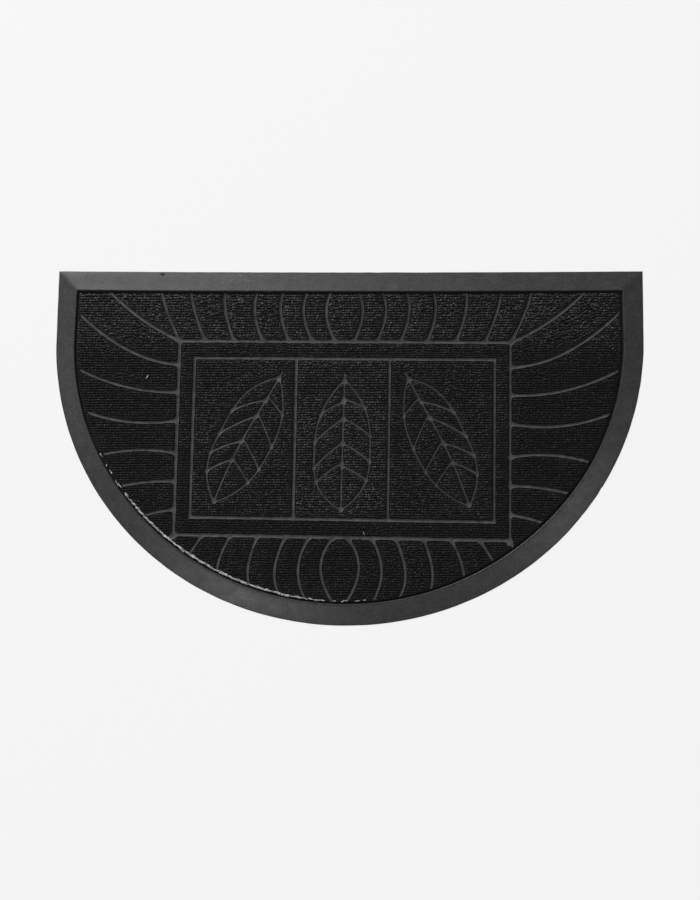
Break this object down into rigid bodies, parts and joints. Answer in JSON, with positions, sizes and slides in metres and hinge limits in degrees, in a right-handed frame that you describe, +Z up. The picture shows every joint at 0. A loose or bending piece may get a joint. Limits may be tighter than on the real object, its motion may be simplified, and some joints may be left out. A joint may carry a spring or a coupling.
{
  "type": "half round doormat",
  "caption": "Flat half round doormat: a rubber tray with a sloped border around a dark ribbed loop pile with pressed framed leaves and a fan of curved ribs.",
  "frame": {"origin": "middle of the mat's bounding box, on the surface that it lies on", "axes": "+X along the straight back edge, +Y towards that edge, +Z up"},
  "size_m": [0.75, 0.4524, 0.0075],
  "materials": {
    "rubber": "matte black moulded rubber",
    "pile": "dark gray ribbed loop pile with pressed lines"
  },
  "bodies": {
    "root": {"rubber_tray": "rubber", "pile_face": "pile"}
  },
  "joints": []
}
